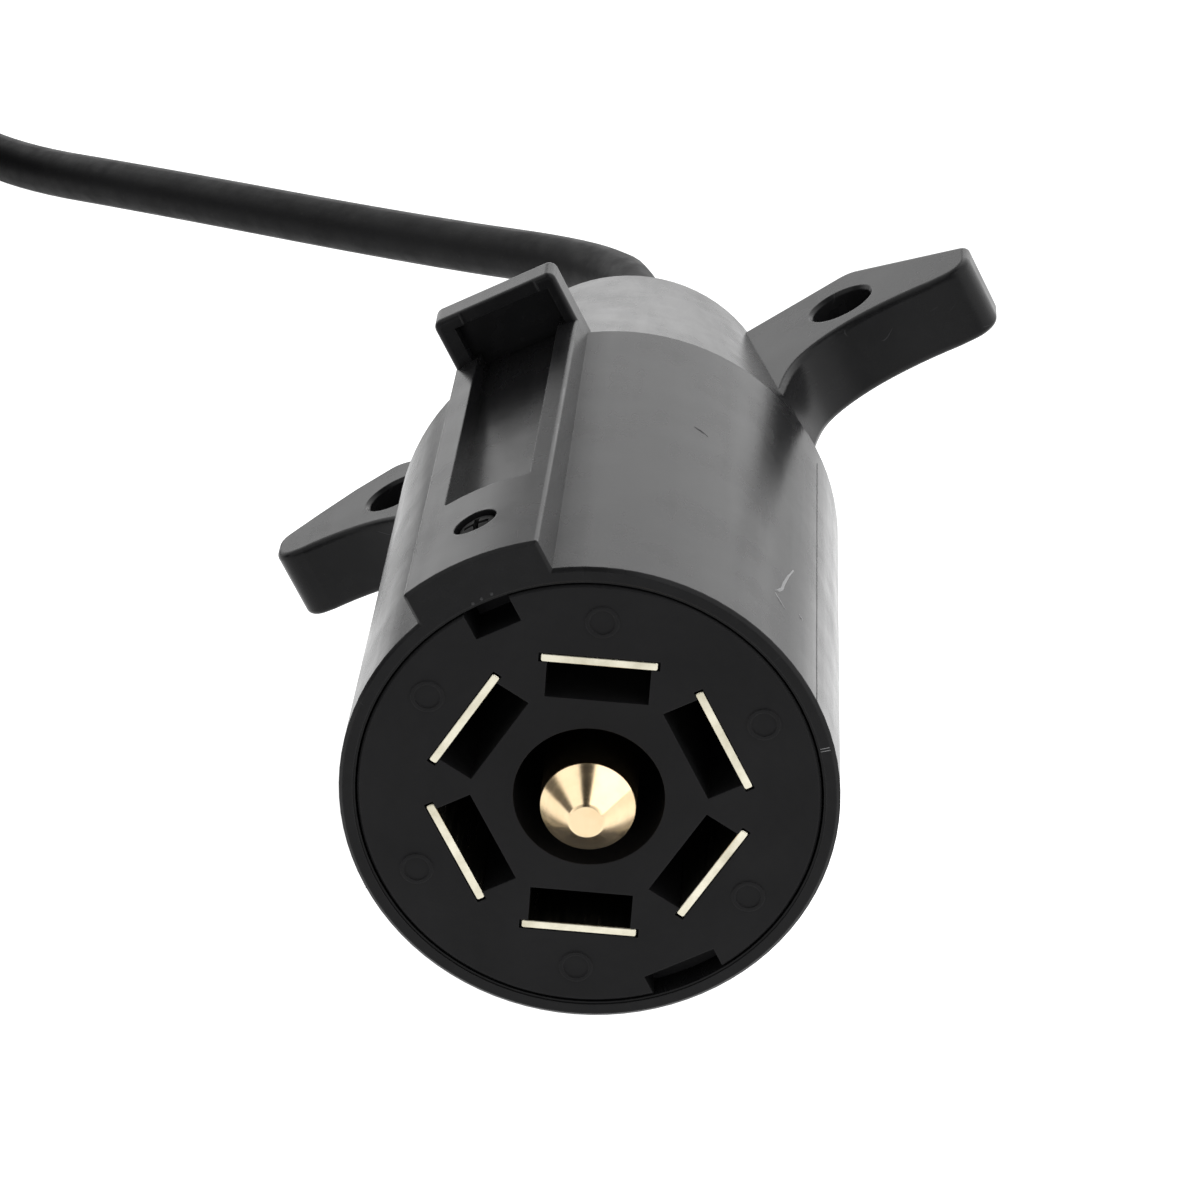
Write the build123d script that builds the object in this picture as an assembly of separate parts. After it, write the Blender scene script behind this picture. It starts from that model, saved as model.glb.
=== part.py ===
from build123d import *
import os
import math

# Seven-way trailer plug: a black moulded shell with a raised key, a latch hood and two
# drilled pull ears; a terminal carrier with six flat brass contacts and a centre pin,
# each with its own binding screw; a two-piece cable clamp; a rubber strain relief; and
# the seven-core cable, which ends in bare cores.
#
# Row frame, millimetres: origin at the centre of the mating face, on the plug's axis.
# -Y is the mating direction, +Y is towards the cable, +Z is up. The plug is set down on
# a table, so its key leans to -X by ROLL. Everything in the plug is drawn in the key
# frame (X to the right ear, Y along the axis, Z through the key) and then turned about Y.

os.makedirs("parts", exist_ok=True)

# ---------------------------------------------------------------- driving dimensions
ROLL = 26.0              # lean of the key from +Z towards -X, degrees
FLOOR = -23.25           # table height under the barrel

# shell
BARREL_R0 = 23.25        # barrel radius at the mating face
BARREL_R1 = 22.55        # barrel radius at the shoulder
SHOULDER_Y = 59.0        # where the barrel ends
CONE_R0 = 22.2           # cone radius just behind the shoulder
CONE_R1 = 15.5           # cone radius at the rear rim
REAR_Y = 92.5            # rear rim
BORE_R = 21.72           # front bore, holds the carrier
CHAMBER_R = 19.5         # wiring chamber
CARRIER_Y1 = 34.0        # carrier length, and the depth of the front bore
WALL_CONE = 2.6          # wall of the cone
REAR_WALL_Y = 87.0       # inner face of the rear wall
GLAND_BORE_R = 8.2       # hole for the strain relief

# key (raised rib), latch pocket and hood
KEY_X0, KEY_X1 = -6.5, 7.1
KEY_R = 26.25            # radius of the key's top at the mating face
KEY_R1 = 24.75           # the same at the hood
POCKET_X0, POCKET_X1 = -3.6, 5.2
POCKET_Y0, POCKET_Y1 = 17.3, 57.2
POCKET_FLOOR = 22.6
HOOD_X0, HOOD_X1 = -6.35, 7.1
HOOD_Y0, HOOD_Y1 = 57.0, 60.8
HOOD_TOP = 29.45
HOOD_ROOF = 1.4          # thickness of the roof
HOOD_LEFT, HOOD_RIGHT = 1.9, 1.15    # thickness of the cheeks
HOOD_RECESS = 2.2        # how far its front is hollowed

# pull ears
EAR_HALF = 4.0           # half thickness
EAR_HOLE = {1: (26.75, 85.7), -1: (25.95, 86.5)}     # distance from the axis, Y
EAR_HOLE_R = 3.35
EAR_END = {1: 41.4, -1: 40.4}        # reach of each ear from the axis
EAR_ROUND = {1: (3.0, 1.1), -1: (2.6, 2.5)}          # rounding of its front and rear corners
EAR_FRONT = {                        # front edge, from the barrel outwards
    1: [(18.6, 63.0), (20.75, 70.6), (22.2, 75.0), (25.8, 78.3), (30.2, 79.95), (37.0, 80.5)],
    -1: [(18.6, 63.0), (20.75, 71.0), (22.2, 75.7), (25.8, 79.2), (30.2, 81.1), (37.0, 81.75)],
}
EAR_TIP = {1: (81.0, 86.95), -1: (82.15, 87.5)}      # Y of the tip's two corners
EAR_BACK = {                         # rear edge, from the tip inwards
    1: [(34.6, 90.55), (27.6, 94.25), (22.0, 92.1), (15.0, 89.5), (9.0, 86.5)],
    -1: [(35.9, 90.5), (31.7, 93.0), (26.5, 95.2), (22.0, 93.3), (15.0, 90.0), (9.0, 86.5)],
}

# terminal carrier
CARRIER_R = 21.52
RECESS_R, RECESS_DEPTH = 7.05, 24.0
SLOT_IN, SLOT_OUT, SLOT_HALF, SLOT_DEPTH = 9.92, 13.46, 4.8, 24.0
NOTCH_A = (2.3, 18.75, 5.5)     # half width, inner height, depth at the key
NOTCH_B = (3.6, 19.2, 3.0)      # the same, opposite the key

# contacts
CONTACT_R, CONTACT_T, CONTACT_W = 13.84, 0.80, 10.76
BLOCK_IN, BLOCK_OUT, BLOCK_HALF = 10.6, 17.2, 4.0
BLOCK_Y0, BLOCK_Y1 = 36.0, 46.0
CONTACT_ANGLES = {
    "upper_right": 60.0, "right": 0.0, "lower_right": -60.0,
    "lower_left": -120.0, "left": 180.0, "upper_left": 120.0,
}

# centre pin
PIN_R, PIN_TIP_R = 4.47, 1.72
PIN_TIP_Y, PIN_CONE_Y = -5.0, -1.9
PIN_TAIL_R = 5.5
PIN_BODY_R = 4.80         # where the carrier holds it

# screws
BIND_R, BIND_HOLE_R, BIND_HEAD_R, BIND_HEAD_T = 1.45, 1.50, 2.4, 1.4
KEEP_X, KEEP_Y = 0.45, 9.15      # retaining screw, on the key
KEEP_R, KEEP_HOLE_R = 1.25, 1.30
KEEP_SINK_R, KEEP_SINK_Z = 2.20, 23.6
KEEP_HEAD_R, KEEP_HEAD_T = 2.05, 1.6
CLAMP_X, CLAMP_Y = 8.0, 68.0
CLAMP_R, CLAMP_HOLE_R, CLAMP_HEAD_R, CLAMP_HEAD_T = 1.50, 1.55, 2.7, 1.8

# cable
CABLE_R = 3.0
CORE_R = 0.725           # insulated core
COPPER_R = 0.45          # bared core end
CORE_RING = 2.0          # radius of the six outer cores round the middle one
JACKET_Y = 58.0          # where the jacket is stripped inside the chamber
RELIEF_Y = 112.5         # rear end of the strain relief
HOLE_LIFT = 12.1         # radial place of the bared end in its block
SEAT = 0.03              # room under each screw's head

KEY = Rot(0, -ROLL, 0)


def ycyl(r, y0, y1, x=0.0, z=0.0):
    return Pos(x, (y0 + y1) / 2, z) * Rot(90, 0, 0) * Cylinder(r, y1 - y0)


def zcyl(r, z0, z1, x=0.0, y=0.0):
    return Pos(x, y, (z0 + z1) / 2) * Cylinder(r, z1 - z0)


def xcyl(r, x0, x1, y=0.0, z=0.0):
    return Pos((x0 + x1) / 2, y, z) * Rot(0, 90, 0) * Cylinder(r, x1 - x0)


def block(x0, x1, y0, y1, z0, z1):
    return Pos((x0 + x1) / 2, (y0 + y1) / 2, (z0 + z1) / 2) * Box(x1 - x0, y1 - y0, z1 - z0)


def turned(points):
    """Solid of revolution about Y from (radius, y) points."""
    return revolve(make_face(Polyline(*points, close=True)), Axis.Y, 360)


def at_angle(a):
    """Turns a feature drawn along +X to the angle a in the key frame."""
    return Rot(0, -a, 0)


def one(shape):
    """The single solid of a result."""
    solids = shape.solids()
    return max(solids, key=lambda s: s.volume)


def write(shape, name):
    shape.label = name
    export_step(shape, os.path.join("parts", name + ".step"))


# ---------------------------------------------------------------- shell
cone_slope = (CONE_R0 - CONE_R1) / (REAR_Y - SHOULDER_Y - 0.8)
cone_r = lambda y: CONE_R0 - (y - SHOULDER_Y - 0.8) * cone_slope
outer = turned([
    (0, 0), (BARREL_R0 - 0.35, 0), (BARREL_R0, 0.35),
    (BARREL_R1, SHOULDER_Y), (CONE_R0, SHOULDER_Y + 0.8),
    (CONE_R1, REAR_Y - 0.3), (CONE_R1 - 0.35, REAR_Y), (0, REAR_Y),
])
# key: a rib with a curved top, which falls a little towards the hood
key_rib = block(KEY_X0, KEY_X1, 0, HOOD_Y0 + 1.0, 12, KEY_R + 1) & turned([
    (0, 0), (KEY_R, 0), (KEY_R + (KEY_R1 - KEY_R) * (HOOD_Y0 + 1.0) / HOOD_Y0, HOOD_Y0 + 1.0), (0, HOOD_Y0 + 1.0)])
long_edges = [e for e in key_rib.edges() if e.center().Z > 20 and e.length > 40]
key_rib = fillet(long_edges, 0.38)
front_top = [e for e in key_rib.edges() if abs(e.center().Y) < 1e-6 and e.center().Z > 25 and e.length > 8]
key_rib = chamfer(front_top, 0.3)
hood = block(HOOD_X0, HOOD_X1, HOOD_Y0, HOOD_Y1, 18, HOOD_TOP)
hood = fillet([e for e in hood.edges().filter_by(Axis.Y) if e.center().Z > 25], 0.9)
hood = fillet([e for e in hood.edges() if e.center().Z > 22 and e.center().Y > HOOD_Y1 - 0.01], 0.5)
hood = fillet([e for e in hood.edges() if e.center().Z > HOOD_TOP - 1.0 and e.center().Y < HOOD_Y0 + 0.01], 0.55)
body = outer + key_rib + hood

# pull ears: one planform each side, drawn in X-Y
def ear(side):
    end, (tip_front, tip_rear) = EAR_END[side], EAR_TIP[side]
    front = Spline(*[(x * side, y) for x, y in EAR_FRONT[side]])
    x0, y0 = EAR_FRONT[side][-1]
    tip = Polyline(*[(x * side, y) for x, y in
                     [(x0, y0), (end, tip_front), (end, tip_rear), *EAR_BACK[side], (9.0, 63.0), (18.6, 63.0)]])
    face = make_face([*front.edges(), *tip.edges()])
    solid = extrude(Pos(0, 0, -EAR_HALF) * face, 2 * EAR_HALF, dir=(0, 0, 1))
    corners = [e for e in solid.edges().filter_by(Axis.Z) if abs(e.center().X) > end - 0.5]
    solid = fillet([e for e in corners if e.center().Y < 84], EAR_ROUND[side][0])
    corners = [e for e in solid.edges().filter_by(Axis.Z)
               if abs(e.center().X) > end - 0.5 and abs(e.center().Y - tip_rear) < 0.01]
    solid = fillet(corners, EAR_ROUND[side][1])
    kink = [e for e in solid.edges().filter_by(Axis.Z)
            if 26 < abs(e.center().X) < 28 and e.center().Y > 93]
    solid = fillet(kink, 3.0)
    rim = [e for e in solid.edges()
           if abs(abs(e.center().Z) - EAR_HALF) < 1e-6 and abs(e.center().X) > 12.0
           and not (abs(e.center().X) < 15.0)]
    solid = fillet(rim, 0.7)
    return solid


ears = ear(1) + ear(-1)
body = body + ears

# inside: front bore, wiring chamber, conical tail, rear wall with the gland's hole
inner = turned([
    (0, -1), (BORE_R, -1), (BORE_R, CARRIER_Y1), (CHAMBER_R, CARRIER_Y1), (CHAMBER_R, SHOULDER_Y),
    (cone_r(REAR_WALL_Y) - WALL_CONE, REAR_WALL_Y), (GLAND_BORE_R, REAR_WALL_Y),
    (GLAND_BORE_R, REAR_Y + 1), (0, REAR_Y + 1),
])
shelf = block(-12.0, 12.0, CLAMP_Y - 4.5, CLAMP_Y + 4.5, -20, -5.0) & outer
body = (body - inner) + shelf
body = body - ycyl(BORE_R + 0.2, -1, 0.15)                 # front edge of the bore
rear_groove = ycyl(13.2, REAR_Y - 1.4, REAR_Y + 1) - ycyl(11.2, REAR_Y - 2, REAR_Y + 2)
body = body - rear_groove
# latch pocket, open upwards, running under the hood's hollow front
pocket = block(POCKET_X0, POCKET_X1, POCKET_Y0, POCKET_Y1, POCKET_FLOOR, KEY_R + 6)
pocket = fillet(pocket.edges().filter_by(Axis.Z), 0.5)
hollow = block(HOOD_X0 + HOOD_LEFT, HOOD_X1 - HOOD_RIGHT, HOOD_Y0 - 0.5, HOOD_Y0 + HOOD_RECESS,
               24.0, HOOD_TOP - HOOD_ROOF)
hollow += block(POCKET_X0, POCKET_X1, HOOD_Y0 - 0.5, HOOD_Y0 + HOOD_RECESS, POCKET_FLOOR, 25.0)
body = body - pocket - hollow
# screw holes and ear holes
body = body - zcyl(KEEP_SINK_R, KEEP_SINK_Z, 30, KEEP_X, KEEP_Y)
body = body - zcyl(KEEP_HOLE_R, 18.0, 30, KEEP_X, KEEP_Y)
for sx in (-CLAMP_X, CLAMP_X):
    body = body - zcyl(CLAMP_HOLE_R, -10.0, -4.0, sx, CLAMP_Y)
for sx in (-1, 1):
    body = body - zcyl(EAR_HOLE_R, -10, 10, sx * EAR_HOLE[sx][0], EAR_HOLE[sx][1])
shell = one(body)
hole_rims = [e for e in shell.edges() if e.geom_type == GeomType.CIRCLE
             and abs(e.radius - EAR_HOLE_R) < 1e-4 and abs(abs(e.center().Z) - EAR_HALF) < 1e-3]
shell = one(chamfer(hole_rims, 0.35))
write(KEY * shell, "connector_shell")

# ---------------------------------------------------------------- carrier
carrier = ycyl(CARRIER_R, 0, CARRIER_Y1)
carrier = chamfer([e for e in carrier.edges() if e.geom_type == GeomType.CIRCLE], 0.22)
carrier = carrier - ycyl(RECESS_R, -1, RECESS_DEPTH) - ycyl(PIN_BODY_R + 0.04, 0, CARRIER_Y1 + 1)
for a in CONTACT_ANGLES.values():
    carrier = carrier - at_angle(a) * block(SLOT_IN, SLOT_OUT, -1, SLOT_DEPTH, -SLOT_HALF, SLOT_HALF)
    half = CONTACT_T / 2 + 0.03
    carrier = carrier - at_angle(a) * block(
        CONTACT_R - half, CONTACT_R + half, -1, CARRIER_Y1 + 1,
        -CONTACT_W / 2 - 0.04, CONTACT_W / 2 + 0.04)
    carrier = carrier - at_angle(a) * block(
        CONTACT_R - half, CONTACT_R + half + 0.06, -1, 0.9,
        -CONTACT_W / 2 - 0.22, CONTACT_W / 2 + 0.22)
    # plain raised ring beside each contact, where a circuit mark would be
    ring = ycyl(1.55, -0.14, 0.5) - ycyl(1.2, -1, 1)
    carrier = carrier + (at_angle(a) * (Pos(17.9, 0, 0) * ring))
carrier = carrier - block(-NOTCH_A[0], NOTCH_A[0], -1, NOTCH_A[2], NOTCH_A[1], 24)
carrier = carrier - block(-NOTCH_B[0], NOTCH_B[0], -1, NOTCH_B[2], -24, -NOTCH_B[1])
carrier = carrier - zcyl(KEEP_HOLE_R, 16.6, 24, KEEP_X, KEEP_Y)
carrier = one(carrier)
write(KEY * carrier, "terminal_carrier")

# ---------------------------------------------------------------- contacts and pin
for name, a in CONTACT_ANGLES.items():
    strip = block(CONTACT_R - CONTACT_T / 2, CONTACT_R + CONTACT_T / 2, 0.0, BLOCK_Y0 + 1,
                  -CONTACT_W / 2, CONTACT_W / 2)
    strip = fillet(strip.edges().filter_by(Axis.Y), 0.22)
    strip = chamfer([e for e in strip.edges() if abs(e.center().Y) < 1e-6], 0.06)
    head = block(BLOCK_IN, BLOCK_OUT, BLOCK_Y0, BLOCK_Y1, -BLOCK_HALF, BLOCK_HALF)
    head = fillet(head.edges().filter_by(Axis.X), 0.5)
    part = strip + head
    part = part - ycyl(1.0, BLOCK_Y0 + 1.2, BLOCK_Y1 + 1, HOLE_LIFT + 0.5, 0)
    part = part - xcyl(BIND_HOLE_R, HOLE_LIFT + 0.5, BLOCK_OUT + 1, (BLOCK_Y0 + BLOCK_Y1) / 2, 0)
    write(KEY * (at_angle(a) * one(part)), "contact_" + name)

pin = turned([
    (0, PIN_TIP_Y), (PIN_TIP_R - 0.2, PIN_TIP_Y), (PIN_TIP_R, PIN_TIP_Y + 0.15),
    (PIN_R - 0.05, PIN_CONE_Y - 0.1), (PIN_R, PIN_CONE_Y), (PIN_R, RECESS_DEPTH - 0.1),
    (PIN_BODY_R, RECESS_DEPTH + 0.15), (PIN_BODY_R, CARRIER_Y1),
    (PIN_TAIL_R, CARRIER_Y1), (PIN_TAIL_R, BLOCK_Y1 - 0.4), (PIN_TAIL_R - 0.4, BLOCK_Y1), (0, BLOCK_Y1),
])
pin = pin - ycyl(1.0, BLOCK_Y0 + 1.2, BLOCK_Y1 + 1, 0, 0)
pin = pin - zcyl(BIND_HOLE_R, 0.0, PIN_TAIL_R + 1, 0, (BLOCK_Y0 + BLOCK_Y1) / 2)
write(KEY * one(pin), "centre_pin")

# ---------------------------------------------------------------- screws
def slotted(r, r_head, t_head, length, slot=0.7):
    """Slotted screw along -Z: head from 0 to t_head, shank down to -length."""
    s = zcyl(r_head, 0, t_head)
    s = chamfer([e for e in s.edges() if e.geom_type == GeomType.CIRCLE and e.center().Z > 0.1], 0.25)
    s = s + zcyl(r, -length, 0.2)
    s = chamfer([e for e in s.edges() if e.geom_type == GeomType.CIRCLE and e.center().Z < -length + 0.01], 0.25)
    return one(s - block(-slot / 2, slot / 2, -10, 10, t_head * 0.45, t_head + 1))


def crossed(r, r_head, t_head, length, cross=0.75):
    """Cross-recessed pan screw along -Z."""
    s = zcyl(r_head, 0, t_head)
    s = fillet([e for e in s.edges() if e.geom_type == GeomType.CIRCLE and e.center().Z > 0.1], 0.45)
    s = s + zcyl(r, -length, 0.2)
    s = chamfer([e for e in s.edges() if e.geom_type == GeomType.CIRCLE and e.center().Z < -length + 0.01], 0.3)
    c = cross / 2
    arm = r_head * 0.62
    s = s - block(-c, c, -arm, arm, t_head * 0.35, t_head + 1)
    s = s - block(-arm, arm, -c, c, t_head * 0.35, t_head + 1)
    return one(s)


MID_Y = (BLOCK_Y0 + BLOCK_Y1) / 2
for name, a in CONTACT_ANGLES.items():
    s = slotted(BIND_R, BIND_HEAD_R, BIND_HEAD_T, BLOCK_OUT - HOLE_LIFT - COPPER_R - 0.05)
    s = Pos(BLOCK_OUT + SEAT, MID_Y, 0) * Rot(0, 90, 0) * s
    write(KEY * (at_angle(a) * s), "binding_screw_" + name)
s = slotted(BIND_R, BIND_HEAD_R, BIND_HEAD_T, PIN_TAIL_R - COPPER_R - 0.05)
write(KEY * (Pos(0, MID_Y, PIN_TAIL_R + SEAT) * s), "binding_screw_centre")

keep = crossed(KEEP_R, KEEP_HEAD_R, KEEP_HEAD_T, KEEP_SINK_Z - 16.9, 0.6)
write(KEY * (Pos(KEEP_X, KEEP_Y, KEEP_SINK_Z + SEAT) * keep), "retaining_screw")

# ---------------------------------------------------------------- cable clamp
def clamp_half(z0, z1):
    h = block(-11.5, 11.5, CLAMP_Y - 4.0, CLAMP_Y + 4.0, z0, z1)
    h = fillet(h.edges().filter_by(Axis.Z), 1.5)
    h = h - ycyl(CABLE_R + 0.02, CLAMP_Y - 6, CLAMP_Y + 6)
    for sx in (-CLAMP_X, CLAMP_X):
        h = h - zcyl(CLAMP_HOLE_R, -10, 10, sx, CLAMP_Y)
    return one(h)


write(KEY * clamp_half(-5.0, -0.2), "cable_clamp_base")
write(KEY * clamp_half(0.2, 4.6), "cable_clamp_cap")
for name, sx in (("left", -CLAMP_X), ("right", CLAMP_X)):
    s = crossed(CLAMP_R, CLAMP_HEAD_R, CLAMP_HEAD_T, 4.6 + 9.2)
    write(KEY * (Pos(sx, CLAMP_Y, 4.6 + SEAT) * s), "clamp_screw_" + name)

# ---------------------------------------------------------------- strain relief
profile = [(CABLE_R + 0.02, 84.2), (10.4, 84.2), (10.4, REAR_WALL_Y - 0.02), (GLAND_BORE_R - 0.04, REAR_WALL_Y - 0.02),
           (GLAND_BORE_R - 0.04, REAR_Y + 0.02), (9.8, REAR_Y + 0.02), (9.8, 94.6), (9.2, 95.4)]
taper0, taper1 = (95.4, 7.6), (RELIEF_Y, 4.3)
taper = lambda y: taper0[1] + (taper1[1] - taper0[1]) * (y - taper0[0]) / (taper1[0] - taper0[0])
y = 95.4
profile.append((taper(y), y))
while y + 3.0 < RELIEF_Y - 1.5:
    profile += [(taper(y + 1.7), y + 1.7), (taper(y + 1.9) - 0.9, y + 1.9),
                (taper(y + 2.8) - 0.9, y + 2.8), (taper(y + 3.0), y + 3.0)]
    y += 3.0
profile += [(taper(RELIEF_Y - 0.3), RELIEF_Y - 0.3), (taper(RELIEF_Y) - 0.3, RELIEF_Y), (CABLE_R + 0.02, RELIEF_Y)]
relief = turned(profile)
write(KEY * one(relief), "strain_relief")

# ---------------------------------------------------------------- cable inside the plug
write(KEY * ycyl(CABLE_R, JACKET_Y, RELIEF_Y), "cable_inner")

CORES = {
    "white": "upper_right", "blue": "right", "green": "lower_right",
    "black": "lower_left", "yellow": "left", "brown": "upper_left",
}


def swept(points, radii, r):
    """Tube of radius r along straight runs joined by tangent arcs."""
    path = FilletPolyline(*points, radius=radii) if len(points) > 2 else Line(*points)
    start = path.edges()[0]
    plane = Plane(origin=path @ 0, z_dir=path % 0)
    return sweep(plane * Circle(r), path=path)


ends = []
for colour, place in CORES.items():
    a = CONTACT_ANGLES[place]
    pts = [(CORE_RING, JACKET_Y, 0), (CORE_RING, JACKET_Y - 2.4, 0), (HOLE_LIFT, BLOCK_Y1 + 3.6, 0), (HOLE_LIFT, BLOCK_Y1 + 0.3, 0)]
    core = swept(pts, 2.6, CORE_R)
    write(KEY * (at_angle(a) * one(core)), "core_" + colour)
    ends.append(at_angle(a) * ycyl(COPPER_R, BLOCK_Y0 + 2.2, BLOCK_Y1 + 0.3, HOLE_LIFT, 0))
write(KEY * ycyl(CORE_R, BLOCK_Y1 + 0.3, JACKET_Y), "core_purple")
ends.append(ycyl(COPPER_R, BLOCK_Y0 + 2.2, BLOCK_Y1 + 0.3))
write(KEY * Compound([one(e) for e in ends]), "core_bared_ends")

# ---------------------------------------------------------------- free cable
# Route of the free cable in the row frame: straight out of the strain relief, one bend
# to the left, a long shallow fall to the table, then into the coil at its outer turn.
ROUTE = [
    (0.0, RELIEF_Y, 0.0), (0.0, 127.0, 0.0), (-6.6, 141.8, -2.8), (-27.5, 161.6, -7.9),
    (-65.8, 196.7, -15.0), (-86.5, 218.3, -20.25), (-98.7, 232.8, -20.25), (-109.7, 244.4, -20.25),
]


def run_radii(points):
    out = []
    for p, q, s in zip(points, points[1:], points[2:]):
        u, v = Vector(*q) - Vector(*p), Vector(*s) - Vector(*q)
        turn = math.radians(u.get_angle(v))
        out.append(0.45 * min(u.length, v.length) / math.tan(turn / 2))
    return out


radii = run_radii(ROUTE)
runs = [(Vector(*b) - Vector(*a)).length for a, b in zip(ROUTE, ROUTE[1:])]
print("cable runs", [round(r, 1) for r in runs])
print("cable radii", [round(r, 1) for r in radii])
path = FilletPolyline(*ROUTE, radius=radii)
cable = sweep(Plane(origin=path @ 0, z_dir=path % 0) * Circle(CABLE_R), path=path)
cable = one(cable)
print("cable path", round(path.length, 1), "volume ratio",
      round(cable.volume / (math.pi * CABLE_R ** 2 * path.length), 4))
write(cable, "cable")

# coil: three layers of turns a cable's thickness apart, a plain ring with a step for the
# short top layer
COIL_X, COIL_Y = -140.2, 215.5
COIL_OUT, COIL_IN = 45.0, 21.0
coil = zcyl(COIL_OUT, FLOOR, FLOOR + 12.0) - zcyl(COIL_IN, FLOOR - 1, FLOOR + 30)
# the top layer is one turn, which drifts inwards to where the jacket ends; the bared
# cores lie in the sector beyond that end
END_A, END_R = 268.5, 36.25          # angle and radius of the jacket's end on the coil
top = zcyl(COIL_OUT, FLOOR + 11.0, FLOOR + 18.0) - zcyl(33.0, FLOOR, FLOOR + 30)
ca, sa = math.cos(math.radians(END_A - 0.4)), math.sin(math.radians(END_A - 0.4))
cb, sb = math.cos(math.radians(END_A + 112.0)), math.sin(math.radians(END_A + 112.0))
cm, sm = math.cos(math.radians(END_A + 56.0)), math.sin(math.radians(END_A + 56.0))
sector = extrude(Pos(0, 0, FLOOR + 12.0) * make_face(Polyline(
    (0, 0), (60 * ca, 60 * sa), (110 * cm, 110 * sm), (60 * cb, 60 * sb), close=True)), 10, dir=(0, 0, 1))
top = top - (sector & zcyl(39.4, FLOOR + 12.0, FLOOR + 30.0))
coil = coil + top
coil = one(coil)
TIE_A = 200.0            # where the tie holds the coil, degrees
tie_cut = block(COIL_IN - 3.0, COIL_OUT + 3.0, -3.2, 3.2, FLOOR - 5, FLOOR + 30) - block(
    COIL_IN + 1.0, COIL_OUT - 1.0, -4, 4, FLOOR + 1.0, FLOOR + 17.0)
coil = coil - Rot(0, 0, TIE_A) * tie_cut
write(Pos(COIL_X, COIL_Y, 0) * one(coil), "cable_coil")
tie = block(COIL_IN - 0.1, COIL_OUT + 0.1, -3.0, 3.0, FLOOR, FLOOR + 18.1) - block(
    COIL_IN + 1.0, COIL_OUT - 1.0, -4, 4, FLOOR + 1.0, FLOOR + 17.1)
tie = fillet([e for e in tie.edges().filter_by(Axis.Y)
              if e.center().X < COIL_IN or e.center().X > COIL_OUT], 0.6)
write(Pos(COIL_X, COIL_Y, 0) * (Rot(0, 0, TIE_A) * one(tie)), "coil_tie")

# ---------------------------------------------------------------- far end of the cable
# The jacket stops on top of the coil and the seven cores run on side by side, lying on
# the turns below, each bared for its last few millimetres.
END_Z = FLOOR + 15.0
LIE_Z = FLOOR + 12.0 + CORE_R + 0.02


def on_coil(a, r, z):
    t = math.radians(a)
    return (COIL_X + r * math.cos(t), COIL_Y + r * math.sin(t), z)


TAILS = [("white", 15), ("blue", 315), ("green", 75), ("purple", None), ("black", 255),
         ("yellow", 135), ("brown", 195)]
bared = []
for k, (colour, ring) in enumerate(TAILS):
    dr = 0.0 if ring is None else CORE_RING * math.cos(math.radians(ring))
    dz = 0.0 if ring is None else CORE_RING * math.sin(math.radians(ring))
    lie = 36.9 - 1.85 * k - (0.35 if k == 6 else 0.0)
    pts = [on_coil(END_A, END_R + dr, END_Z + dz), on_coil(END_A + 7.0, END_R + dr, END_Z + dz),
           on_coil(END_A + 30.0, lie, LIE_Z), on_coil(END_A + 50.0 + 2.0 * k, lie - 0.15, LIE_Z),
           on_coil(END_A + 68.0 + 4.0 * k, lie, LIE_Z)]
    tail = one(swept(pts, run_radii(pts), CORE_R))
    write(tail, "tail_" + colour)
    p, q = Vector(*pts[-2]), Vector(*pts[-1])
    d = (q - p).normalized()
    bare = Plane(origin=q, z_dir=d) * (Pos(0, 0, 3.0) * Cylinder(COPPER_R, 6.0))
    bared.append(one(bare))
write(Compound(bared), "tail_bared_ends")
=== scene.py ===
import bpy
import bmesh
import math
from mathutils import Matrix, Vector


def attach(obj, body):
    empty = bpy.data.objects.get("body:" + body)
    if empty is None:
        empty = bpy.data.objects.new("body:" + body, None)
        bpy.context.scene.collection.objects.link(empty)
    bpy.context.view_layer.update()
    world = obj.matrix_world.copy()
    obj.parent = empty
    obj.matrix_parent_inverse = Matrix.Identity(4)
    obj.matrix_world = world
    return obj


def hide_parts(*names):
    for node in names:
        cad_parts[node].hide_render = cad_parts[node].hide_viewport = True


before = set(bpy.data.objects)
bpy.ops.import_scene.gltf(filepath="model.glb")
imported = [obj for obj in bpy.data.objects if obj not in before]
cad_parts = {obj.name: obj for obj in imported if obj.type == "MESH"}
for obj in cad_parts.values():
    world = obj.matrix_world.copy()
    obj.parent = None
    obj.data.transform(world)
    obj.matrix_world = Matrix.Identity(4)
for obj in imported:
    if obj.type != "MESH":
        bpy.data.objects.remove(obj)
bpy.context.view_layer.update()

scene = bpy.context.scene
scene.view_settings.view_transform = "Standard"
scene.view_settings.look = "None"
scene.view_settings.exposure = 0.0
scene.view_settings.gamma = 1.0

MM = 0.001
ROLL = math.radians(26.0)
FLOOR = -23.25
BODY = "plug"


def key(x, y, z):
    """A point given in the key frame (millimetres), in the row frame (metres)."""
    c, s = math.cos(ROLL), math.sin(ROLL)
    return Vector(((x * c - z * s) * MM, y * MM, (x * s + z * c) * MM))


def link(obj):
    scene.collection.objects.link(obj)
    return obj


# ------------------------------------------------------------------ camera
cam_data = bpy.data.cameras.new("camera")
cam_data.sensor_fit = "HORIZONTAL"
cam_data.sensor_width = 36.0
cam_data.lens = 36.0 * 5408.2 / 1200.0
cam_data.clip_start, cam_data.clip_end = 0.01, 50.0
cam = link(bpy.data.objects.new("camera", cam_data))
right = Vector((0.99886, 0.0478, 0.0)).normalized()
forward = Vector((-0.0434, 0.9061, -0.4209)).normalized()
right = (right - forward * right.dot(forward)).normalized()
up = right.cross(forward).normalized()
cam.matrix_world = Matrix((
    (right.x, up.x, -forward.x, 0.022354),
    (right.y, up.y, -forward.y, -0.445335),
    (right.z, up.z, -forward.z, 0.226957),
    (0, 0, 0, 1),
))
scene.camera = cam


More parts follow.
